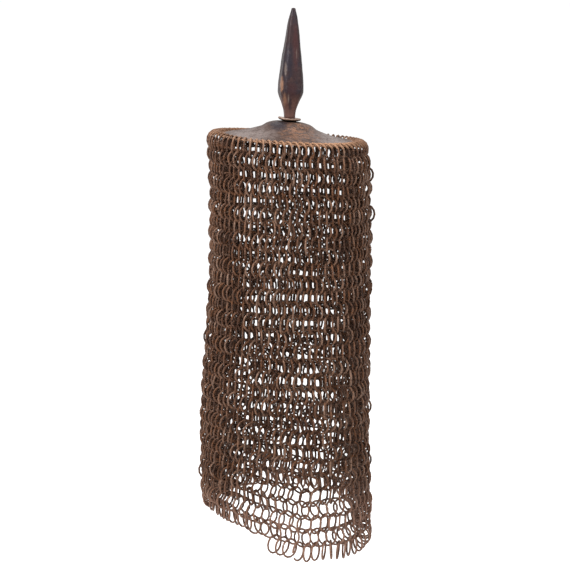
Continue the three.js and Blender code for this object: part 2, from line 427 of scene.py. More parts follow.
class Finish:
    """A procedural surface: layers of colour, roughness and relief over one metal shader."""

    def __init__(self, name: str, metallic: float, roughness: float, base: Colour, sheen: float) -> None:
        """Starts a material with its shader.

        Args:
            name: the material's name.
            metallic: how metallic it is all over.
            roughness: roughness where no layer says otherwise.
            base: colour under every layer.
            sheen: how strongly the surface mirrors white light, 0.5 as a rule.
        """
        self.material = bpy.data.materials.new(name)
        self.material.use_nodes = True
        self.make = TreeMaker(self.material.node_tree)
        self.shader = self.material.node_tree.nodes["Principled BSDF"]
        self.shader.inputs["Metallic"].default_value = metallic
        self.shader.inputs["Specular IOR Level"].default_value = sheen
        self.place = self.make.add("ShaderNodeTexCoord").outputs["Object"]
        self.colour: object = (*base, 1.0)
        self.roughness: object = roughness
        self.bump: Socket | None = None

    def spots(self, grain: Grain) -> Socket:
        """Cuts noise to a mask.

        Args:
            grain: the noise and where it is cut.

        Returns:
            The mask, from 0 to 1.
        """
        cloud = self.make.add("ShaderNodeTexNoise")
        self.make.feed(cloud.inputs["Vector"], self.place)
        self.make.feed(cloud.inputs["Scale"], 1.0 / (grain.size * MM))
        self.make.feed(cloud.inputs["Detail"], grain.detail)
        self.make.feed(cloud.inputs["Roughness"], 0.6)
        self.make.feed(cloud.inputs["Distortion"], grain.warp)
        return self.limits(cloud.outputs["Fac"], grain.low, grain.high)

    def limits(self, value: Socket, low: float, high: float) -> Socket:
        """Maps a value smoothly to a mask.

        Args:
            value: the value.
            low: the value where the mask is 0.
            high: the value where it is 1, which may be the smaller of the two.

        Returns:
            The mask.
        """
        ranged = self.make.add("ShaderNodeMapRange", interpolation_type="SMOOTHSTEP")
        self.make.feed(ranged.inputs["From Min"], low)
        self.make.feed(ranged.inputs["From Max"], high)
        self.make.feed(ranged.inputs["Value"], value)
        return ranged.outputs["Result"]

    def blob(self, patch: Patch) -> Socket:
        """Makes a mask of a patch.

        Args:
            patch: its place and outline.

        Returns:
            The mask, from 0 to 1.
        """
        moved = self.make.add("ShaderNodeMapping", vector_type="TEXTURE")
        self.make.feed(moved.inputs["Vector"], self.place)
        self.make.feed(moved.inputs["Location"], Vector(patch.middle) * MM)
        self.make.feed(moved.inputs["Scale"], Vector(patch.reach) * MM)
        reach = self.make.add("ShaderNodeVectorMath", operation="LENGTH")
        self.make.feed(reach.inputs[0], moved.outputs["Vector"])
        push = self.spots(Grain(patch.grain, detail=4.0, low=0.25, high=0.75))
        pushed = self.make.maths("ADD", reach.outputs["Value"], self.times(push, patch.ragged))
        outline = 1.0 + patch.ragged / 2
        return self.limits(pushed, outline + patch.edge, outline - patch.edge)

    def facing_up(self, low: float, high: float) -> Socket:
        """Makes a mask of the surface that faces up.

        Args:
            low: upward part of the normal where the mask is 0.
            high: upward part of the normal where it is 1.

        Returns:
            The mask.
        """
        normal = self.make.add("ShaderNodeSeparateXYZ")
        self.make.feed(normal.inputs[0], self.make.add("ShaderNodeNewGeometry").outputs["Normal"])
        return self.limits(normal.outputs["Z"], low, high)

    def above(self, low: float, high: float, tilt: float = 0.0) -> Socket:
        """Makes a mask that changes with the height.

        Args:
            low: height where the mask is 0.
            high: height where it is 1.
            tilt: how steeply the plane that heights are taken from sinks towards +X.

        Returns:
            The mask.
        """
        parts = self.make.add("ShaderNodeSeparateXYZ")
        self.make.feed(parts.inputs[0], self.place)
        sunk = self.make.maths("MULTIPLY", parts.outputs["X"], math.tan(tilt))
        return self.limits(self.make.maths("ADD", parts.outputs["Z"], sunk), low, high)

    def from_axis(self, low: float, high: float) -> Socket:
        """Makes a mask that changes with the distance from the upright axis.

        Args:
            low: distance where the mask is 0.
            high: distance where it is 1.

        Returns:
            The mask.
        """
        flat = self.make.add("ShaderNodeVectorMath", operation="MULTIPLY")
        self.make.feed(flat.inputs[0], self.place)
        self.make.feed(flat.inputs[1], (1.0, 1.0, 0.0))
        reach = self.make.add("ShaderNodeVectorMath", operation="LENGTH")
        self.make.feed(reach.inputs[0], flat.outputs["Vector"])
        return self.limits(reach.outputs["Value"], low, high)

    def times(self, first: Socket, *others: object) -> Socket:
        """Multiplies masks.

        Args:
            first: a mask.
            others: more masks, or numbers.

        Returns:
            Their product.
        """
        product = first
        for other in others:
            product = self.make.maths("MULTIPLY", product, other)
        return product

    def paint(self, mask: Socket, colour: Colour, strength: float, roughness: float | None = None) -> None:
        """Lays a colour, and a roughness, over what is there.

        Args:
            mask: where the layer shows.
            colour: its colour.
            strength: how much of it shows where the mask is full.
            roughness: its roughness, or None to keep what is there.
        """
        share = self.times(mask, strength)
        mix = self.make.add("ShaderNodeMix", data_type="RGBA")
        self.make.feed(mix.inputs["Factor"], share)
        self.make.feed(mix.inputs[6], self.colour)
        self.make.feed(mix.inputs[7], (*colour, 1.0))
        self.colour = mix.outputs[2]
        if roughness is not None:
            blend = self.make.add("ShaderNodeMix", data_type="FLOAT")
            self.make.feed(blend.inputs["Factor"], share)
            self.make.feed(blend.inputs[2], self.roughness)
            self.make.feed(blend.inputs[3], roughness)
            self.roughness = blend.outputs[0]

    def relief(self, height: Socket, depth: float, strength: float) -> None:
        """Adds relief to what is there.

        Args:
            height: mask of what stands out.
            depth: how far it stands out where the mask is 1.
            strength: how much of that shows.
        """
        bump = self.make.add("ShaderNodeBump")
        self.make.feed(bump.inputs["Height"], height)
        self.make.feed(bump.inputs["Distance"], depth)
        self.make.feed(bump.inputs["Strength"], strength)
        if self.bump is not None:
            self.make.feed(bump.inputs["Normal"], self.bump)
        self.bump = bump.outputs["Normal"]

    def finished(self) -> bpy.types.Material:
        """Joins the layers to the shader.

        Returns:
            The material.
        """
        self.make.feed(self.shader.inputs["Base Color"], self.colour)
        self.make.feed(self.shader.inputs["Roughness"], self.roughness)
        if self.bump is not None:
            self.make.feed(self.shader.inputs["Normal"], self.bump)
        return self.material


@dataclass(frozen=True)
class WireFinish:
    """Rusted iron wire of the mail."""

    wire: Colour = (0.078, 0.036, 0.020)
    dark: Colour = (0.018, 0.007, 0.004)
    rust: Colour = (0.120, 0.047, 0.018)
    worn: Colour = (0.21, 0.135, 0.098)
    ochre: Colour = (0.30, 0.165, 0.095)
    hem: Colour = (0.20, 0.112, 0.080)
    # Tones between which a link grows dark, and grows rubbed
    dark_tones: Limits = (0.55, 0.0)
    worn_tones: Limits = (0.5, 1.0)
    # Heights between which the hem grows pale, and the tops of the first row ochre
    hem_heights: Limits = (-330 * MM, -380 * MM)
    top_heights: Limits = (-2 * MM, 2.5 * MM)

    BLOTCHES = Grain(9.0, 3.0, 0.46, 0.62)
    PITS = Grain(2.2, 2.0, 0.52, 0.66)
    RUBS = Grain(1.6, 3.0, 0.56, 0.68)
    PORES = Grain(0.8, 3.0, 0.3, 0.7)
    FRONT = Patch((22.0, -62.0, 0.0), (60.0, 32.0, 20.0), edge=0.5, ragged=0.4, grain=9.0)

    def material(self) -> bpy.types.Material:
        """Makes wire whose tone changes from link to link, with rust and rubbed metal along it.

        Returns:
            The material.
        """
        finish = Finish("rusted_wire", metallic=0.25, roughness=0.5, base=self.wire, sheen=0.16)
        tone = finish.make.add("ShaderNodeAttribute", attribute_type="GEOMETRY", attribute_name="tone")
        dark_links = finish.limits(tone.outputs["Fac"], *self.dark_tones)
        finish.paint(dark_links, self.dark, strength=0.75, roughness=0.62)
        worn_links = finish.limits(tone.outputs["Fac"], *self.worn_tones)
        finish.paint(worn_links, self.worn, strength=0.5, roughness=0.42)
        finish.paint(finish.spots(self.BLOTCHES), self.rust, strength=0.5, roughness=0.72)
        finish.paint(finish.spots(self.PITS), self.dark, strength=0.75, roughness=0.7)
        finish.paint(finish.spots(self.RUBS), self.worn, strength=0.55, roughness=0.4)
        finish.paint(finish.above(*self.hem_heights), self.hem, strength=0.6)
        tops = finish.above(*self.top_heights, CROWN_TILT)
        finish.paint(tops, self.ochre, strength=0.25, roughness=0.6)
        front_tops = finish.times(tops, finish.blob(self.FRONT))
        finish.paint(front_tops, self.ochre, strength=0.6, roughness=0.6)
        finish.relief(finish.spots(self.PORES), depth=0.12 * MM, strength=0.7)
        return finish.finished()


@dataclass(frozen=True)
class PlateFinish:
    """Hammered crown plate: grey-brown patina, a painted lilac sheen on its flanks, ochre rust at the rim,
    painted shade under the washer.
    """

    patina: Colour = (0.046, 0.024, 0.017)
    lilac: Colour = (0.150, 0.112, 0.100)
    rust: Colour = (0.285, 0.152, 0.086)
    scuffed: Colour = (0.24, 0.120, 0.068)
    umber: Colour = (0.034, 0.016, 0.010)
    slate: Colour = (0.015, 0.010, 0.014)
    # Distances from the axis between which the rim rusts, and between which the plate is painted dark with
    # the shade under the washer
    rim_reach: Limits = (61.0 * MM, 67.0 * MM)
    washer_shade_reach: Limits = (12.0 * MM, 10.5 * MM)

    CLOUDS = Grain(26.0, 4.0, 0.42, 0.6, warp=1.2)
    STAINS = Grain(7.0, 5.0, 0.52, 0.6, warp=0.8)
    FLECKS = Grain(6.5, 4.0, 0.43, 0.58, warp=1.2)
    SCORES = Grain(2.4, 4.0, 0.5, 0.57, warp=2.5)
    RUST_FILM = Grain(8.0, 4.0, 0.3, 0.5)
    SPECKS = Grain(2.6, 4.0, 0.56, 0.66)
    HAMMERING = Grain(11.0, 2.0, 0.3, 0.7)
    PORES = Grain(1.4, 4.0, 0.35, 0.65)

    # Painted sheen: pale lilac patches on the two front flanks of the dome stand in for the light they
    # reflect
    PAINTED_SHEENS = (Patch((-42.0, -35.0, 6.0), (26.0, 30.0, 12.0), edge=0.6, ragged=0.5, grain=9.0),
              Patch((46.0, -30.0, 4.0), (18.0, 30.0, 12.0), edge=0.6, ragged=0.5, grain=9.0))
    SCUFFS = Patch((11.0, -30.0, 12.0), (15.0, 32.0, 14.0), edge=0.6, ragged=0.9, grain=6.0)
    DARK_SPOT = Patch((-9.0, -18.0, 17.0), (8.0, 12.0, 10.0), edge=0.35, ragged=0.9, grain=3.0)
    RIDGE = Patch((13.0, -48.0, 5.0), (12.0, 4.5, 10.0), edge=0.5, ragged=0.4, grain=6.0)

    def material(self) -> bpy.types.Material:
        """Makes a patina with patches where the plate of this coif has them, a painted sheen on its flanks
        and painted shade under the washer.

        Returns:
            The material.
        """
        finish = Finish("plate_patina", metallic=0.3, roughness=0.5, base=self.patina, sheen=0.25)
        finish.paint(finish.spots(self.CLOUDS), self.lilac, strength=0.3, roughness=0.42)
        # Painted sheen on the flanks, in lilac
        for sheen in self.PAINTED_SHEENS:
            finish.paint(finish.blob(sheen), self.lilac, strength=0.75, roughness=0.4)
        finish.paint(finish.spots(self.STAINS), self.umber, strength=0.65, roughness=0.62)
        scuffs = finish.blob(self.SCUFFS)
        flecks = finish.times(scuffs, finish.spots(self.FLECKS))
        finish.paint(flecks, self.scuffed, strength=0.8, roughness=0.6)
        scores = finish.times(scuffs, finish.spots(self.SCORES))
        finish.paint(scores, self.umber, strength=0.95, roughness=0.7)
        finish.paint(finish.blob(self.DARK_SPOT), self.slate, strength=0.95, roughness=0.42)
        rim = finish.times(finish.from_axis(*self.rim_reach), finish.spots(self.RUST_FILM))
        finish.paint(rim, self.rust, strength=0.85, roughness=0.66)
        finish.paint(finish.spots(self.SPECKS), self.umber, strength=0.6, roughness=0.7)
        # Painted shade: the plate under the washer's edge is darkened as though shadowed by it
        finish.paint(finish.from_axis(*self.washer_shade_reach), self.umber, strength=0.9, roughness=0.8)
        finish.relief(finish.blob(self.RIDGE), depth=0.9 * MM, strength=0.8)
        finish.relief(finish.spots(self.HAMMERING), depth=0.9 * MM, strength=0.5)
        finish.relief(finish.spots(self.PORES), depth=0.22 * MM, strength=0.7)
        return finish.finished()


@dataclass(frozen=True)
class WasherFinish:
    """Rusted washer, with its upper face painted pale as lit from above and its underside painted black as
    shade.
    """

    rusted: Colour = (0.135, 0.078, 0.052)
    # Pale colour of the upper face's painted light
    painted_highlight: Colour = (0.34, 0.25, 0.21)
    # Black of the underside's painted shade
    painted_underside_shade: Colour = (0.010, 0.006, 0.004)
    # Upward parts of the normal between which the face is painted pale as lit from above, and painted black
    # as shade underneath
    painted_light_facing: Limits = (0.1, 0.6)
    painted_shade_facing: Limits = (-0.2, -0.7)

    CRUST = Grain(3.0, 4.0, 0.5, 0.62)
    PORES = Grain(1.2, 4.0, 0.3, 0.7)

    def material(self) -> bpy.types.Material:
        """Makes rusted iron with painted light that makes it paler on top and painted shade that makes it
        black underneath.

        Returns:
            The material.
        """
        finish = Finish("washer_rust", metallic=0.3, roughness=0.6, base=self.rusted, sheen=0.25)
        # Painted light: faces that point up are painted paler
        finish.paint(finish.facing_up(*self.painted_light_facing), self.painted_highlight, strength=0.8, roughness=0.5)
        finish.paint(finish.spots(self.CRUST), self.rusted, strength=0.6, roughness=0.7)
        # Painted shade: faces that point down are painted black
        finish.paint(finish.facing_up(*self.painted_shade_facing), self.painted_underside_shade, strength=0.95, roughness=0.8)
        finish.relief(finish.spots(self.PORES), depth=0.2 * MM, strength=0.8)
        return finish.finished()


@dataclass(frozen=True)
class SpikeMark:
    """A worn or stained place, or a painted highlight, on the front of the spike, in millimetres sideways
    and up.
    """

    colour: Colour
    middle: tuple[float, float]
    reach: tuple[float, float]
    strength: float
    ahead: float = 12.0
    depth: float = 11.0

    def patch(self) -> Patch:
        """Sets the mark ahead of the spike's axis, so that it shows on the front alone.

        Returns:
            The patch.
        """
        middle = (self.middle[0], -self.ahead, self.middle[1])
        reach = (self.reach[0], self.depth, self.reach[1])
        return Patch(middle, reach, edge=0.5, ragged=0.6, grain=3.0)


@dataclass(frozen=True)
class SpikeFinish:
    """Dark purple-brown forged iron with painted highlights on a ridge and two glints, and a red streak."""

    iron: Colour = (0.021, 0.010, 0.011)
    blue: Colour = (0.012, 0.009, 0.015)
    crimson: Colour = (0.034, 0.009, 0.009)
    # Pale colour of the painted highlights and glints
    painted_highlight: Colour = (0.15, 0.115, 0.095)
    ochre: Colour = (0.24, 0.125, 0.075)
    brown: Colour = (0.115, 0.055, 0.042)
    # Heights between which the neck grows brown
    neck_heights: Limits = (48 * MM, 36 * MM)

    BLUING = Grain(14.0, 4.0, 0.45, 0.62, warp=1.0)
    SPECKS = Grain(6.0, 4.0, 0.54, 0.66)
    HAMMERING = Grain(3.2, 3.0, 0.3, 0.7)
    PORES = Grain(0.9, 3.0, 0.35, 0.65)

    def marks(self) -> list[SpikeMark]:
        """Lists the places on the front of the spike where its colour changes.

        Returns:
            The marks, from the tip down.
        """
        return [
            SpikeMark(self.crimson, (7.5, 93.0), (3.0, 24.0), 0.8),
            SpikeMark(self.blue, (0.5, 78.0), (4.0, 11.0), 0.8),
            # Painted highlights: a glint on the right and a lit ridge on the left
            SpikeMark(self.painted_highlight, (8.4, 85.0), (0.6, 6.0), 0.35),
            SpikeMark(self.painted_highlight, (-2.4, 69.5), (1.2, 6.0), 0.45),
            SpikeMark(self.ochre, (-6.4, 55.0), (1.7, 7.0), 0.75),
            SpikeMark(self.crimson, (4.0, 49.5), (4.5, 7.0), 0.5),
            SpikeMark(self.ochre, (-3.4, 39.0), (1.6, 6.5), 0.45),
            SpikeMark(self.blue, (2.0, 36.0), (1.8, 8.0), 0.7),
            # Painted highlight: a glint on the neck
            SpikeMark(self.painted_highlight, (0.4, 40.5), (0.8, 4.0), 0.75),
        ]

    def material(self) -> bpy.types.Material:
        """Makes forged iron, bluish in the middle, red and ochre where it is worn, with painted highlights
        and glints.

        Returns:
            The material.
        """
        finish = Finish("forged_spike", metallic=0.25, roughness=0.42, base=self.iron, sheen=0.24)
        finish.paint(finish.spots(self.BLUING), self.blue, strength=0.6, roughness=0.36)
        finish.paint(finish.spots(self.SPECKS), self.brown, strength=0.15, roughness=0.6)
        finish.paint(finish.above(*self.neck_heights), self.brown, strength=0.7, roughness=0.6)
        for mark in self.marks():
            finish.paint(finish.blob(mark.patch()), mark.colour, mark.strength)
        finish.relief(finish.spots(self.HAMMERING), depth=0.3 * MM, strength=0.6)
        finish.relief(finish.spots(self.PORES), depth=0.1 * MM, strength=0.6)
        return finish.finished()


@dataclass(frozen=True)
class LinkSize:
    """Sizes of a link: radius to the middle of the wire, and the wire's thickness."""

    radius: float = 9.1 * MM
    wire: float = 2.15 * MM


@dataclass(frozen=True)
class RimSlot:
    """A slot through the plate's rim: middle, turn, and half extent along and across."""

    middle: Vector
    turn: Quaternion
    reach: Vector


@dataclass(frozen=True)
class RimHanging:
    """How the links of the first row hang in the rim, lower and closer at the front and the back."""

    link: LinkSize
    count: int = 70
    flat_width: float = 12.9 * MM
    radii: Limits = (70.0 * MM, 72.2 * MM)
    drops: Limits = (6.0 * MM, 5.0 * MM)
    sheet: float = 1.3 * MM
    sheet_lift: float = 0.57 * MM
    clearance: float = 0.4 * MM

    def between(self, limits: Limits, azimuth: float) -> float:
        """A size at an azimuth, from its value at the front and the back to its value at the sides."""
        return limits[0] + (limits[1] - limits[0]) * math.sin(azimuth) ** 4

    def centre(self, azimuth: float) -> Vector:
        """Finds the middle of a link.

        Args:
            azimuth: the link's azimuth.

        Returns:
            The middle, in the level plate's frame.
        """
        point = outward(azimuth) * self.between(self.radii, azimuth)
        point.z = -self.between(self.drops, azimuth)
        return point

    def lean(self, azimuth: float) -> float:
        """Angle that a link turns out of the face of the mail so that the row fits."""
        return math.acos(self.between(self.radii, azimuth) * FULL_TURN / self.count / self.flat_width)

    def slot(self, azimuth: float) -> RimSlot:
        """Finds where a link passes down through the plate.

        Args:
            azimuth: the link's azimuth.

        Returns:
            The slot that clears its wire, in the level plate's frame.
        """
        lean = self.lean(azimuth)
        half_wire = self.link.wire / 2
        under = self.between(self.drops, azimuth) + self.sheet_lift
        near = math.sqrt((self.link.radius - half_wire) ** 2 - (under + self.sheet) ** 2)
        far = math.sqrt((self.link.radius + half_wire) ** 2 - under ** 2)
        way = around(azimuth) * math.cos(lean) + outward(azimuth) * math.sin(lean)
        middle = self.centre(azimuth) - way * (near + far) / 2
        middle.z = 0.0
        reach = Vector(((far - near) / 2 + self.clearance, half_wire + self.clearance, 1.0))
        return RimSlot(middle, Quaternion((0, 0, 1), math.atan2(way.y, way.x)), reach)


@dataclass
class MailForm:
    """Shape of the curtain of mail, as a tube that hangs from the plate's rim."""

    hanging: RimHanging
    plate_tilt: float = CROWN_TILT
    top_drop: float = 5.0 * MM
    pitch: float = 12.9 * MM
    front_stretch: float = 1.65 * MM
    stretch_rows: Limits = (8.0, 17.0)
    # Rows over which the mail forgets the tilt of the plate, and over which it comes to hang loose
    level_rows: Limits = (0.0, 15.0)
    slack_rows: Limits = (0.0, 5.0)
    wave_depth: float = 400 * MM
    # Share of the wave depth from which the waves are full
    full_waves: float = 0.5
    crease_depth: float = 6.0 * MM
    crease_azimuth: float = math.radians(-16.0)
    crease_spread: float = math.radians(15.0)
    spread_azimuth: float = math.radians(27.0)
    spread_rows: Limits = (19.0, 25.0)
    regather_rows: Limits = (26.0, 30.0)
    regather: float = 0.5
    stagger: float = 0.7 * MM
    sway: float = 1.3 * MM
    sway_size: float = 55.0 * MM
    # Seeds of the sway sideways and upwards
    sway_seeds: tuple[float, float] = (1.0, 6.0)
    # Middle azimuth of the table of the front
    front_middle: float = math.radians(80.0)
    # Middle radius of the mail by depth, both in millimetres
    radii: Table = ((0.0, 72.0), (60.0, 72.4), (120.0, 73.4), (180.0, 74.6), (240.0, 77.2),
                    (300.0, 78.1), (350.0, 78.6), (420.0, 78.8))
    # Sideways swing of the tube by depth, both in millimetres
    swing: Table = ((0.0, 0.0), (18.0, 1.4), (60.0, 2.1), (110.0, 2.0), (165.0, 0.6), (225.0, -0.6),
                    (250.0, -1.4), (330.0, -2.4), (420.0, -1.9))
    # Share of the front's extra length by azimuth in degrees
    front: Table = ((-60.0, 0.0), (-38.0, 0.16), (-22.0, 0.43), (0.0, 0.64), (14.0, 0.85), (31.0, 0.88),
                    (50.0, 1.0), (75.0, 0.93), (95.0, 0.8), (137.0, 0.2), (180.0, 0.05), (225.0, 0.0))
    # Widening and closing of the rows around the spread: share of each harmonic of the azimuth
    harmonics: Sequence[tuple[int, float]] = ((1, 0.16), (2, 0.15), (3, 0.13))
    # Waves of the tube: height, number around it, and phase over the wave depth and at the top
    waves: Sequence[tuple[float, int, float, float]] = ((0.9 * MM, 3, 9.0, 0.0), (0.6 * MM, 5, -7.0, 1.0))

    def front_share(self, azimuth: float) -> float:
        """How much a column of links shares in the longer front, from 0 to 1."""
        degrees = math.degrees(wrapped(azimuth - self.front_middle) + self.front_middle)
        return smooth_table(self.front, degrees)

    def drop(self, row: int, azimuth: float) -> float:
        """Depth of a row's link centres below the level rim."""
        stretched = sum(smoothstep(*self.stretch_rows, step) for step in range(1, row + 1))
        return self.top_drop + row * self.pitch + stretched * self.front_stretch * self.front_share(azimuth)

    def spread_share(self, row: int) -> float:
        """How far a row takes part in the spread, which closes again a little at the hem."""
        closed = self.regather * smoothstep(*self.regather_rows, row)
        return smoothstep(*self.spread_rows, row) * (1.0 - closed)

    def spread(self, row: int, azimuth: float) -> float:
        """Finds where a link stands in a row that opens at the front right.

        Args:
            row: the row.
            azimuth: the link's azimuth in an even row.

        Returns:
            Its azimuth in this row.
        """
        x = azimuth - self.spread_azimuth
        push = sum(share / order * math.sin(order * x) for order, share in self.harmonics)
        return azimuth + self.spread_share(row) * push

    def opening(self, row: int, azimuth: float) -> float:
        """Finds how wide the links of a row stand.

        Args:
            row: the row.
            azimuth: azimuth in an even row.

        Returns:
            Their spacing there, as a share of an even row's.
        """
        x = azimuth - self.spread_azimuth
        widening = sum(share * math.cos(order * x) for order, share in self.harmonics)
        return 1.0 + self.spread_share(row) * widening

    def radius(self, drop: float, azimuth: float) -> float:
        """Finds the middle radius of the mail, with the crease and the waves of the hanging tube.

        Args:
            drop: depth below the rim.
            azimuth: the azimuth.

        Returns:
            The radius.
        """
        share = drop / self.wave_depth
        crease = math.exp(-((wrapped(azimuth - self.crease_azimuth) / self.crease_spread) ** 2))
        wave = sum(height * math.sin(count * azimuth + along * share + start)
                   for height, count, along, start in self.waves)
        base = smooth_table(self.radii, drop / MM) * MM
        return base - self.crease_depth * share ** 3 * crease + wave * min(1.0, share / self.full_waves)

    def centre(self, row: int, azimuth: float) -> Vector:
        """Finds the middle of the mail.

        Args:
            row: the row.
            azimuth: azimuth in an even row.

        Returns:
            The middle of the mail there.
        """
        if row == 0:
            return Matrix.Rotation(self.plate_tilt, 3, "Y") @ self.hanging.centre(azimuth)
        moved = self.spread(row, azimuth)
        drop = self.drop(row, moved)
        stagger = -self.stagger * Tilt.of_row(row).value
        point = outward(moved) * (self.radius(drop, moved) + stagger)
        tilted = 1.0 - smoothstep(*self.level_rows, row)
        drop += point.x * math.tan(self.plate_tilt) * tilted
        point.z = -drop
        slack = self.sway * smoothstep(*self.slack_rows, row)
        sideways, upwards = (slack * noise_at(point, self.sway_size, seed) for seed in self.sway_seeds)
        point += around(moved) * sideways
        return point + Vector((smooth_table(self.swing, drop / MM) * MM, 0.0, upwards))


@dataclass(frozen=True)
class MailBand:
    """Rows of links that make up one piece, with the gap between the ends of each link's wire."""

    name: str
    first: int
    last: int
    gap: float = math.radians(3.0)


@dataclass(frozen=True)
class PlacedLink:
    """A link in its place in the weave."""

    place: Vector
    turn: Quaternion
    stretch: Vector
    tone: float


@dataclass
class MailCurtain:
    """Curtain of four-in-one mail, in bands of rows."""

    form: MailForm
    link: LinkSize
    links_per_row: int = 70
    link_sides: int = 14
    wire_sides: int = 6
    # Width of a link that lies flat in the face of the mail, in an even row and in a stretched one
    flat_width: tuple[float, float] = (12.9 * MM, 12.3 * MM)
    # Cosine of the least angle that links turn out of the face
    flattest: float = 0.95
    short_row: int = 29
    short_row_ends: Limits = (math.radians(-3.0), math.radians(88.0))
    open_azimuth: float = math.radians(12.9)
    open_ends: float = math.radians(195.0)
    stray_reach: float = 2.1 * MM
    stray_lean: float = math.radians(82.0)
    free_from: float = math.radians(-76.0)
    hem_lean: float = 0.3
    hem_swing: float = math.radians(12.0)
    # Share in which a link hangs plumb instead of along its column
    plumb: float = 0.5
    # Spread of the small differences between links: place, lean, swing and width
    place_scatter: float = 0.4 * MM
    lean_scatter: float = math.radians(4.5)
    swing_scatter: float = 0.05
    width_scatter: float = 0.03
    seed: int = 7

    BANDS = (MailBand("suspension_links", 0, 0), MailBand("mail_upper", 1, 10),
             MailBand("mail_middle", 11, 20), MailBand("mail_lower", 21, 29))
    OPEN_BAND = MailBand("open_link", 29, 29, math.radians(40.0))

    # Row and azimuth in degrees of links that stick out of the face of the mail
    STRAYS = ((2, 92.6), (5, 90.0), (20, 92.6), (24, 82.3), (26, -87.4))

    def azimuths(self, row: int) -> list[float]:
        """Lists where the links of a row stand.

        Args:
            row: the row.

        Returns:
            Their azimuths before they spread.
        """
        step = FULL_TURN / self.links_per_row
        offset = 0.5 * (row % 2)
        found = [wrapped((link + offset) * step) for link in range(self.links_per_row)]
        if row < self.short_row:
            return found
        low, high = self.short_row_ends
        return [azimuth for azimuth in found if low <= azimuth <= high]

    def lean(self, row: int, azimuth: float) -> float:
        """Finds the angle that a link turns out of the face of the mail so that its row fits.

        Args:
            row: the link's row.
            azimuth: its azimuth before the row spreads.

        Returns:
            The angle.
        """
        if row == 0:
            return self.form.hanging.lean(azimuth)
        here = self.form.centre(row, azimuth)
        spacing = math.hypot(here.x, here.y) * FULL_TURN / self.links_per_row
        spacing *= self.form.opening(row, azimuth)
        even, stretched = self.flat_width
        width = even + smoothstep(*self.form.stretch_rows, row) * (stretched - even)
        return math.acos(min(self.flattest, spacing / width))

    def turn(self, row: int, azimuth: float, lean: float, rng: np.random.Generator) -> Quaternion:
        """Turns a link from its own XY plane to its place in the weave.

        Args:
            row: the link's row.
            azimuth: its azimuth before the row spreads.
            lean: angle that it turns out of the face of the mail.
            rng: source of the small differences between links.

        Returns:
            The rotation, with the gap of the wire still at the side.
        """
        moved = self.form.spread(row, azimuth)
        loose = 0.0 if row == 0 else 1.0
        side = (lean + loose * rng.normal(0.0, self.lean_scatter)) * Tilt.of_row(row).value
        reach = around(moved) * math.cos(side) + outward(moved) * math.sin(side)
        if row == 0:
            up = Matrix.Rotation(self.form.plate_tilt, 3, "Y") @ Vector((0, 0, 1))
        else:
            chain = self.form.centre(row - 1, azimuth) - self.form.centre(row + 1, azimuth)
            up = chain.normalized().lerp(Vector((0, 0, 1)), self.plumb)
        up += outward(moved) * loose * rng.normal(0.0, self.swing_scatter)
        up += around(moved) * loose * rng.normal(0.0, self.swing_scatter)
        normal = reach.cross(up).normalized()
        reach = up.cross(normal).normalized()
        basis = Matrix((reach, normal.cross(reach), normal)).transposed()
        return basis.to_quaternion()

    def is_near(self, azimuth: float, place: float) -> bool:
        """Whether a link stands within half a step of an azimuth."""
        return abs(azimuth - place) < math.pi / self.links_per_row

    def is_open(self, row: int, azimuth: float) -> bool:
        """Whether a link is the one whose wire has sprung open."""
        return row == self.OPEN_BAND.first and self.is_near(azimuth, self.open_azimuth)

    def is_stray(self, row: int, azimuth: float) -> bool:
        """Whether a link sticks out of the face of the mail."""
        places = [math.radians(degrees) for stray_row, degrees in self.STRAYS if stray_row == row]
        return any(self.is_near(azimuth, place) for place in places)

    def is_free(self, row: int, azimuth: float) -> bool:
        """Whether a link of the front has no link below that holds it."""
        return row == self.short_row - 1 and self.free_from < azimuth < self.short_row_ends[0]

    def links(self, row: int, rng: np.random.Generator, opened: bool) -> list[PlacedLink]:
        """Places a row's links.

        Args:
            row: the row.
            rng: source of the small differences between links.
            opened: whether only the sprung link is wanted, or all the others.

        Returns:
            The links.
        """
        found = []
        loose = 0.0 if row == 0 else 1.0
        for azimuth in self.azimuths(row):
            place = self.form.centre(row, azimuth) + Vector(rng.normal(0.0, self.place_scatter, 3)) * loose
            lean = self.lean(row, azimuth)
            if self.is_stray(row, azimuth):
                place += outward(azimuth) * self.stray_reach
                lean = self.stray_lean
            elif self.is_free(row, azimuth):
                lean = lean * self.hem_lean + rng.normal(0.0, self.hem_swing)
            turn = self.turn(row, azimuth, lean, rng)
            wide = loose * rng.normal(0.0, self.width_scatter)
            gap_turn = self.open_ends if opened else rng.uniform(0.0, FULL_TURN)
            turn = turn @ Quaternion((0, 0, 1), gap_turn)
            tone = float(rng.uniform(0.0, 1.0))
            if self.is_open(row, azimuth) == opened:
                found.append(PlacedLink(place, turn, Vector((1.0 + wide, 1.0 - wide, 1.0)), tone))
        return found

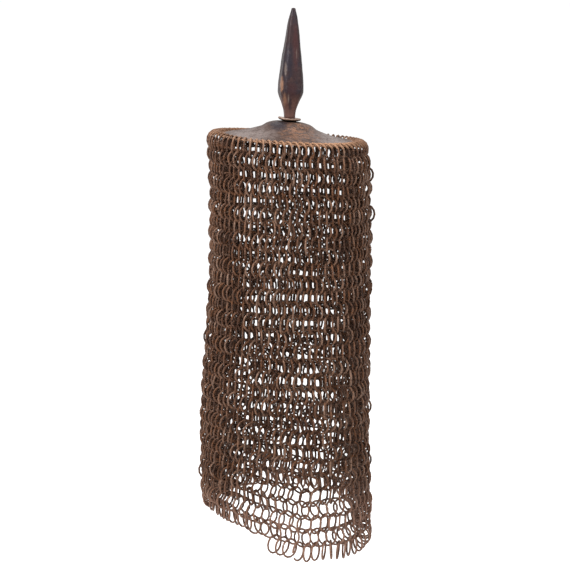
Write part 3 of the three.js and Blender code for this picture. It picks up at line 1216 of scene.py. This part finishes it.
    def build_band(self, band: MailBand, tree: bpy.types.NodeTree,
                   wire: bpy.types.Material) -> bpy.types.Object:
        """Weaves the rows of one band.

        Args:
            band: its name and rows.
            tree: the tree that sets a link on each point.
            wire: material of the wire.

        Returns:
            The finished band.
        """
        rng = np.random.default_rng(self.seed + band.first)
        opened = band is self.OPEN_BAND
        links = [link for row in range(band.first, band.last + 1) for link in self.links(row, rng, opened)]
        mesh = bpy.data.meshes.new(band.name)
        mesh.from_pydata([tuple(link.place) for link in links], [], [])
        turns = mesh.attributes.new("turn", "QUATERNION", "POINT")
        turns.data.foreach_set("value", [part for link in links for part in link.turn])
        stretches = mesh.attributes.new("stretch", "FLOAT_VECTOR", "POINT")
        stretches.data.foreach_set("vector", [part for link in links for part in link.stretch])
        tones = mesh.attributes.new("tone", "FLOAT", "POINT")
        tones.data.foreach_set("value", [link.tone for link in links])
        piece = bpy.data.objects.new(band.name, mesh)
        bpy.context.scene.collection.objects.link(piece)
        sizes = {
            "Link radius": self.link.radius,
            "Wire diameter": self.link.wire,
            "Gap": band.gap,
            "Link sides": self.link_sides,
            "Wire sides": self.wire_sides,
            "Material": wire,
        }
        MeshMaker.run_tree(piece, tree, sizes)
        return piece

    def build(self) -> list[bpy.types.Object]:
        """Weaves the curtain.

        Returns:
            Its bands, from the plate down, and the link that has sprung open.
        """
        tree = LinkTree.build()
        wire = WireFinish().material()
        return [self.build_band(band, tree, wire) for band in (*self.BANDS, self.OPEN_BAND)]


@dataclass
class CrownPlate:
    """Domed plate with a ring of slots near its rim."""

    hanging: RimHanging
    radius: float = 70.5 * MM
    thickness: float = 1.3 * MM
    rise: float = 16.2 * MM
    tilt: float = CROWN_TILT
    bore: float = 3.5 * MM
    slot_sides: int = 14
    facets: int = 144
    rings: int = 34
    dents: Sequence[Dents] = (Dents(0.55 * MM, 19 * MM, 3.0), Dents(0.3 * MM, 8 * MM, 5.0))
    # Swelling of the left flank, and the shares of the radius over which it rises, leftwards and inwards
    fuller: float = 0.9 * MM
    fuller_leftwards: Limits = (-0.2, 0.9)
    fuller_inwards: Limits = (1.0, 0.6)
    # Shares of the radius over which dents set in, outwards from the crown and inwards from the rim
    dents_outwards: Limits = (0.1, 0.3)
    dents_inwards: Limits = (1.03, 0.9)
    # Underside from the flat crown out to the rim, as shares of radius and rise
    profile: Table = ((0.0, 1.03), (0.19, 1.0), (0.3, 0.88), (0.4, 0.6), (0.52, 0.42), (0.66, 0.25),
                      (0.83, 0.1), (1.0, 0.0))
    # Rounded edge from the underside up, as shares of radius and thickness
    edge: Table = ((1.006, 0.3), (1.006, 0.75))

    def surface(self, azimuth: float, share: float, lift: float) -> Vector:
        """Finds a point of the sheet.

        Args:
            azimuth: from the front towards +X.
            share: distance from the axis as a share of the radius.
            lift: height above the underside.

        Returns:
            The point in the plate's own frame.
        """
        height = smooth_table(self.profile, share) * self.rise
        point = outward(azimuth) * share * self.radius
        dents = sum(dents.at(point) for dents in self.dents)
        fuller = self.fuller * smoothstep(*self.fuller_leftwards, -point.x / self.radius)
        fuller *= smoothstep(*self.fuller_inwards, share)
        inside = smoothstep(*self.dents_outwards, share) * smoothstep(*self.dents_inwards, share)
        point.z = height + lift + (dents + fuller) * inside
        return point

    def mark_slots(self, mesh: bpy.types.Mesh) -> None:
        """Adds a loose point with a turn and a size for every slot.

        Args:
            mesh: the sheet's mesh.
        """
        step = FULL_TURN / self.hanging.count
        slots = [self.hanging.slot(link * step) for link in range(self.hanging.count)]
        first = len(mesh.vertices)
        mesh.vertices.add(len(slots))
        for name, kind in (("slot", "BOOLEAN"), ("turn", "QUATERNION"), ("stretch", "FLOAT_VECTOR")):
            mesh.attributes.new(name, kind, "POINT")
        for index, slot in enumerate(slots, first):
            mesh.vertices[index].co = slot.middle
            mesh.attributes["slot"].data[index].value = True
            mesh.attributes["turn"].data[index].value = slot.turn
            mesh.attributes["stretch"].data[index].vector = slot.reach

    def build(self) -> bpy.types.Object:
        """Builds the sheet, punches its slots and tilts it.

        Returns:
            The plate.
        """
        inner = self.bore / self.radius
        shares = [inner + (1.0 - inner) * step / self.rings for step in range(self.rings + 1)]
        path = [(share, 0.0) for share in shares]
        path += self.edge
        path += [(share, 1.0) for share in reversed(shares)]
        turns = [FULL_TURN * facet / self.facets for facet in range(self.facets)]
        loops = [[self.surface(turn, share, lift * self.thickness) for turn in turns]
                 for share, lift in path]
        piece = MeshMaker.loft("crown_plate", loops, True)
        self.mark_slots(piece.data)
        values = {
            "Depth": self.rise * 2.0,
            "Slot sides": self.slot_sides,
            "Material": PlateFinish().material(),
        }
        MeshMaker.run_tree(piece, RimSlotTree.build(), values)
        piece.data.transform(Matrix.Rotation(self.tilt, 4, "Y"))
        return piece


@dataclass
class CrownWasher:
    """Irregular dished washer under the spike."""

    radius: float = 11.6 * MM
    thickness: float = 2.1 * MM
    dish: float = 1.5 * MM
    curl: float = 0.7 * MM
    seat: float = 17.9 * MM
    tilt: float = CROWN_TILT
    facets: int = 64
    # Shares of the radius over which the edge's wear and its curl set in
    outer: Limits = (0.5, 1.0)
    # Share of the radius that is worn off the edge, and noise of the edge as a share of the radius
    worn_off: float = 0.015
    ragged: Dents = Dents(0.022, 7 * MM, 2.0)
    dents: Dents = Dents(0.12 * MM, 5 * MM, 8.0)
    # From the bore out along the underside and back: share of radius, share of dish, share of thickness
    section: Sequence[tuple[float, float, float]] = (
        (0.3, 0.0, 0.0), (0.55, 0.15, 0.0), (0.8, 0.6, 0.0), (0.95, 0.95, 0.0), (0.99, 1.0, 0.2),
        (1.0, 1.0, 0.5), (0.99, 1.0, 0.8), (0.94, 0.95, 0.95), (0.8, 0.65, 1.0), (0.55, 0.2, 1.0),
        (0.3, 0.05, 1.0))

    def surface(self, azimuth: float, share: float, dished: float, thick: float) -> Vector:
        """Finds a point of the washer.

        Args:
            azimuth: from the front towards +X.
            share: distance from the axis as a share of the radius.
            dished: share of the dish.
            thick: share of the thickness.

        Returns:
            The point in the level plate's frame.
        """
        point = outward(azimuth) * share * self.radius
        wear = smoothstep(*self.outer, share)
        point *= 1.0 + (self.ragged.at(point) - self.worn_off) * wear
        curl = self.curl * smoothstep(*self.outer, -point.x / self.radius)
        point.z = dished * self.dish + thick * self.thickness + self.seat + curl
        point.z += self.dents.at(point) * thick
        return point

    def build(self) -> bpy.types.Object:
        """Builds the washer on the crown of the plate.

        Returns:
            The washer.
        """
        turns = [FULL_TURN * facet / self.facets for facet in range(self.facets)]
        loops = [[self.surface(turn, *row) for turn in turns] for row in self.section]
        piece = MeshMaker.loft("crown_washer", loops, True)
        piece.data.transform(Matrix.Rotation(self.tilt, 4, "Y"))
        piece.data.materials.append(WasherFinish().material())
        return piece


@dataclass
class CrownSpike:
    """Forged eight-sided spike with a tang riveted under the plate."""

    length: float = 108.3 * MM
    half_width: float = 11.6 * MM
    broad_face: float = 0.62
    lean: float = math.radians(2.1)
    plate_tilt: float = CROWN_TILT
    turn: float = math.radians(14.0)
    tang: float = 3.1 * MM
    # Heights of the tang's lower rings over the foot of the spike: under the plate, and within the washer
    tang_heights: tuple[float, float] = (-4.6 * MM, -2.0 * MM)
    peen: float = 5.2 * MM
    base_height: float = 20.2 * MM
    seat_gap: float = 0.3 * MM
    facets: int = 64
    rings: int = 70
    # Below 1 the rings stand closer towards the tip
    crowding: float = 0.92
    # Roundness of the outline at the tang, of the ridges, and what the ridges gain at both ends
    tang_soft: float = 0.2
    ridge_soft: float = 0.035
    worn_soft: float = 0.05
    # Shares of the length over which the ridges wear round, down to the foot and up to the tip
    worn_foot: Limits = (0.2, 0.0)
    worn_tip: Limits = (0.8, 1.0)
    # Height of the tip's cap, and its width as a share of the last ring
    cap_height: float = 0.5 * MM
    cap_width: float = 0.55
    dents: Sequence[Dents] = (Dents(0.35 * MM, 13 * MM, 4.0), Dents(0.16 * MM, 5 * MM, 9.0))
    # Reach below which dents grow shallower
    full_dents: float = 2 * MM
    # Peened foot from its end up: depth under the plate in millimetres, share of its radius
    foot: Table = ((2.0, 0.5), (1.9, 0.75), (1.3, 0.95), (0.6, 0.98), (0.0, 0.95))
    # Half width from the foot of the spike up, as shares of length and half width
    sections: Table = ((0.0, 0.43), (0.068, 0.49), (0.14, 0.67), (0.212, 0.92), (0.25, 1.0), (0.34, 0.97),
                       (0.45, 0.885), (0.575, 0.76), (0.7, 0.61), (0.83, 0.48), (0.925, 0.32), (1.0, 0.15))

    def outline(self, angle: float, soft: float) -> float:
        """Finds the eight-sided outline for a half width of one.

        Args:
            angle: around the spike, from a broad face's middle.
            soft: how round the ridges are.

        Returns:
            The distance of the outline from the axis.
        """
        across = abs(math.cos(angle)), abs(math.sin(angle))
        bevel = (across[0] + across[1]) / (1.0 + self.broad_face)
        power = 1.0 / soft
        return (across[0] ** power + across[1] ** power + bevel ** power) ** (-soft)

    def ring(self, height: float, width: float, soft: float, dented: float) -> list[Vector]:
        """Makes one loop of points around the spike.

        Args:
            height: height over the foot of the spike.
            width: half width there.
            soft: how round the ridges are.
            dented: share of the dents that show.

        Returns:
            The points.
        """
        loop = []
        for facet in range(self.facets):
            angle = FULL_TURN * facet / self.facets
            reach = width * self.outline(angle, soft)
            turned = angle + self.turn
            point = Vector((reach * math.cos(turned), reach * math.sin(turned), height))
            dent = sum(dents.at(point) for dents in self.dents)
            point.xy *= 1.0 + dented * dent / max(reach, self.full_dents)
            loop.append(point)
        return loop

    def build(self) -> bpy.types.Object:
        """Builds the spike from its peened foot to its tip.

        Returns:
            The spike.
        """
        under = self.tang_heights[0]
        loops = [self.ring(under - depth * MM, self.peen * width, self.tang_soft, 0.0)
                 for depth, width in self.foot]
        loops += [self.ring(height, self.tang, self.tang_soft, 0.0)
                  for height in (*self.tang_heights, self.seat_gap)]
        for step in range(self.rings + 1):
            share = (step / self.rings) ** self.crowding
            worn = smoothstep(*self.worn_foot, share) + smoothstep(*self.worn_tip, share)
            width = smooth_table(self.sections, share) * self.half_width
            height = self.seat_gap + share * self.length
            loops.append(self.ring(height, width, self.ridge_soft + self.worn_soft * worn, 1.0))
        cap = [point + Vector((0, 0, self.cap_height)) for point in loops[-1]]
        for point in cap:
            point.xy *= self.cap_width
        loops.append(cap)
        piece = MeshMaker.loft("crown_spike", loops, False)
        seat = Matrix.Rotation(self.plate_tilt, 3, "Y") @ Vector((0, 0, self.base_height))
        piece.data.transform(Matrix.Translation(seat) @ Matrix.Rotation(self.lean, 4, "Y"))
        piece.data.materials.append(SpikeFinish().material())
        return piece


@dataclass(frozen=True)
class StudioLight:
    """A square light: its place, the length of its side and its power in watts."""

    name: str
    place: tuple[float, float, float]
    size: float
    power: float

    def build(self, aim: Vector) -> None:
        """Sets the light.

        Args:
            aim: the point that it faces.
        """
        light = bpy.data.lights.new(self.name, "AREA")
        light.size = self.size
        light.energy = self.power
        holder = bpy.data.objects.new(self.name, light)
        holder.location = self.place
        holder.rotation_euler = (aim - Vector(self.place)).to_track_quat("-Z", "Y").to_euler()
        bpy.context.scene.collection.objects.link(holder)


@dataclass
class Studio:
    """Pale floor, soft lights and the camera at the photograph's viewing angle."""

    floor_height: float = -0.56
    floor_reach: float = 180.0
    floor_grey: Colour = (0.50, 0.50, 0.50)
    floor_pale: Colour = (0.54, 0.54, 0.54)
    floor_glow: float = 0.68
    # Strength of the surroundings behind and in front of the object, and the directions along Y between them
    backdrop: float = 1.07
    room: float = 0.4
    fade: Limits = (-0.3, 0.6)
    # Height of the object's middle, which the lights face
    middle_height: float = -0.12
    eye: tuple[float, float, float] = (-0.0030, -1.732, 0.1446)
    pitch_down: float = math.radians(9.56)
    focal_pixels: float = 1740.0
    sensor: float = 36.0
    sight: float = 400.0

    FLOOR_CLOUDS = Grain(600.0, 2.0, 0.3, 0.7)
    LIGHTS = (StudioLight("key_light", (-1.0, -1.3, 1.2), 0.7, 70.0),
              StudioLight("top_light", (0.3, 0.2, 1.9), 1.0, 30.0),
              StudioLight("fill_light", (1.3, -1.2, 0.7), 1.0, 17.0))

    def build_floor(self) -> None:
        """Lays the floor."""
        corners = [Vector((x, y, 0)) * self.floor_reach for x, y in ((-1, -1), (1, -1), (1, 1), (-1, 1))]
        height = Vector((0, 0, self.floor_height))
        floor = MeshMaker.add("studio_floor", [corner + height for corner in corners], [[0, 1, 2, 3]])
        finish = Finish("floor_white", metallic=0.0, roughness=0.9, base=self.floor_grey, sheen=0.0)
        finish.paint(finish.spots(self.FLOOR_CLOUDS), self.floor_pale, strength=0.5)
        finish.shader.inputs["Emission Color"].default_value = WHITE
        finish.shader.inputs["Emission Strength"].default_value = self.floor_glow
        floor.data.materials.append(finish.finished())

    def build_world(self) -> None:
        """Makes the surroundings, which are brighter behind the object than in front of it."""
        world = bpy.data.worlds.new("studio_world")
        world.use_nodes = True
        make = TreeMaker(world.node_tree)
        way = make.add("ShaderNodeSeparateXYZ")
        make.feed(way.inputs[0], make.add("ShaderNodeTexCoord").outputs["Object"])
        fade = make.add("ShaderNodeMapRange", interpolation_type="SMOOTHSTEP")
        make.feed(fade.inputs["Value"], way.outputs["Y"])
        limits = (*self.fade, self.room, self.backdrop)
        for name, limit in zip(("From Min", "From Max", "To Min", "To Max"), limits):
            make.feed(fade.inputs[name], limit)
        background = world.node_tree.nodes["Background"]
        background.inputs["Color"].default_value = WHITE
        make.feed(background.inputs["Strength"], fade.outputs["Result"])
        bpy.context.scene.world = world
        bpy.context.scene.view_settings.view_transform = "Standard"

    def build_camera(self) -> None:
        """Sets the camera at the photograph's place."""
        camera = bpy.data.cameras.new("camera")
        camera.sensor_width = self.sensor
        camera.lens = self.focal_pixels / IMAGE_PIXELS * self.sensor
        camera.clip_end = self.sight
        holder = bpy.data.objects.new("camera", camera)
        holder.location = self.eye
        holder.rotation_euler = (math.pi / 2.0 - self.pitch_down, 0.0, 0.0)
        bpy.context.scene.collection.objects.link(holder)
        bpy.context.scene.camera = holder

    def build(self) -> None:
        """Sets up the floor, the surroundings, the lights and the camera."""
        self.build_floor()
        self.build_world()
        for light in self.LIGHTS:
            light.build(Vector((0, 0, self.middle_height)))
        self.build_camera()


def hand_over(piece: bpy.types.Object, node: str) -> None:
    """Puts a piece in the place of its CAD node and logs it.

    Args:
        piece: the finished piece.
        node: the node that it stands for.
    """
    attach(piece, BODY)
    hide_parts(node)
    piece.data.calc_loop_triangles()
    log.info("%s: %d triangles, stands for %s", piece.name, len(piece.data.loop_triangles), node)


def main() -> None:
    """Builds the coif and its studio."""
    logging.basicConfig(level=logging.INFO, format="%(name)s: %(message)s", stream=sys.stdout)
    link = LinkSize()
    hanging = RimHanging(link)
    hand_over(CrownPlate(hanging).build(), "top_plate")
    hand_over(CrownWasher().build(), "finial_washer")
    hand_over(CrownSpike().build(), "finial")
    for band in MailCurtain(MailForm(hanging), link).build():
        hand_over(band, "mail_curtain")
    Studio().build()


if __name__ == "__main__":
    main()
